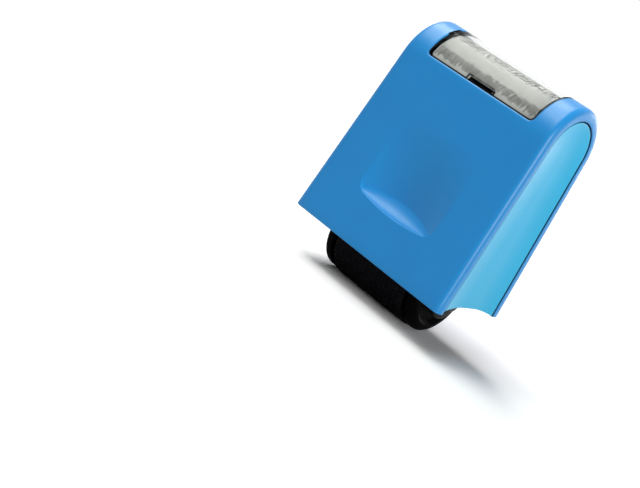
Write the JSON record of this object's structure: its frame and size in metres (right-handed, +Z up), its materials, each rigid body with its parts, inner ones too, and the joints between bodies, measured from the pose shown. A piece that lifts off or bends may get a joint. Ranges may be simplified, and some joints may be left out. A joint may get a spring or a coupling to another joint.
{
  "type": "privacy roller stamp",
  "caption": "Hand roller stamp: tapered rounded casing with thumb scoop and clear index window, over a sprung-inked rubber printing roller in a pull-out cartridge.",
  "frame": {"origin": "centre of the stamp's outline on the surface that the printing roller stands on", "axes": "+Z up along the casing, from the roller to the window; +X along the roller's axle, towards the right end; -Y towards the front wall with the thumb scoop"},
  "size_m": [0.06, 0.0356, 0.0813],
  "materials": {
    "casing": "smooth satin-gloss moulded ABS, mid blue",
    "side_panel": "satin moulded ABS, slightly lighter blue",
    "clear_window": "clear polished polystyrene",
    "index_card": null,
    "black_plastic": "black moulded plastic",
    "rim_plastic": "smooth black plastic",
    "block_plastic": "dark grey acetal",
    "die_rubber": "inked rubber with fine relief",
    "ink_foam": "ink-soaked foam",
    "steel": "plain steel",
    "spring_steel": "bright spring wire"
  },
  "bodies": {
    "casing": {"casing_wrap": "casing", "side_panel_left": "side_panel", "side_panel_right": "side_panel", "index_card": "index_card"},
    "window": {"index_window": "clear_window"},
    "cartridge": {"cartridge_frame": "black_plastic", "cartridge_cheek_left": "black_plastic", "cartridge_cheek_right": "black_plastic", "cheek_screw_left_front": "steel", "cheek_screw_left_rear": "steel", "cheek_screw_right_front": "steel", "cheek_screw_right_rear": "steel", "stamp_axle": "steel", "axle_clip_left": "steel", "axle_clip_right": "steel", "ink_spring_left": "spring_steel", "ink_spring_right": "spring_steel"},
    "stamp_roller": {"stamp_drum": "black_plastic", "rubber_die": "die_rubber", "roller_rim_left": "rim_plastic", "roller_rim_right": "rim_plastic"},
    "ink_carriage": {"ink_axle": "steel", "ink_block_left": "block_plastic", "ink_block_right": "block_plastic"},
    "ink_roller": {"ink_core": "black_plastic", "ink_foam": "ink_foam"}
  },
  "joints": [
    {"name": "window_lift", "type": "slide", "parent": "casing", "child": "window", "axis": [0, 0, 1], "range_m": [0, 0.012]},
    {"name": "cartridge_slide", "type": "slide", "parent": "casing", "child": "cartridge", "axis": [0, 0, -1], "range_m": [0, 0.04]},
    {"name": "stamp_spin", "type": "hinge", "parent": "cartridge", "child": "stamp_roller", "pos_m": [0, 0.0012, 0.0134], "axis": [1, 0, 0], "continuous": true},
    {"name": "ink_lift", "type": "slide", "parent": "cartridge", "child": "ink_carriage", "axis": [0, 0, 1], "range_m": [0, 0.0015], "stiffness_N_per_m": 400, "springref_m": -0.001, "deforming": ["ink_spring_left", "ink_spring_right"]},
    {"name": "ink_spin", "type": "hinge", "parent": "ink_carriage", "child": "ink_roller", "pos_m": [0, 0.0012, 0.0336], "axis": [1, 0, 0], "continuous": true}
  ],
  "couplings": [
    {"joint": "ink_spin", "follows": "stamp_spin", "ratio": -2.0615}
  ]
}
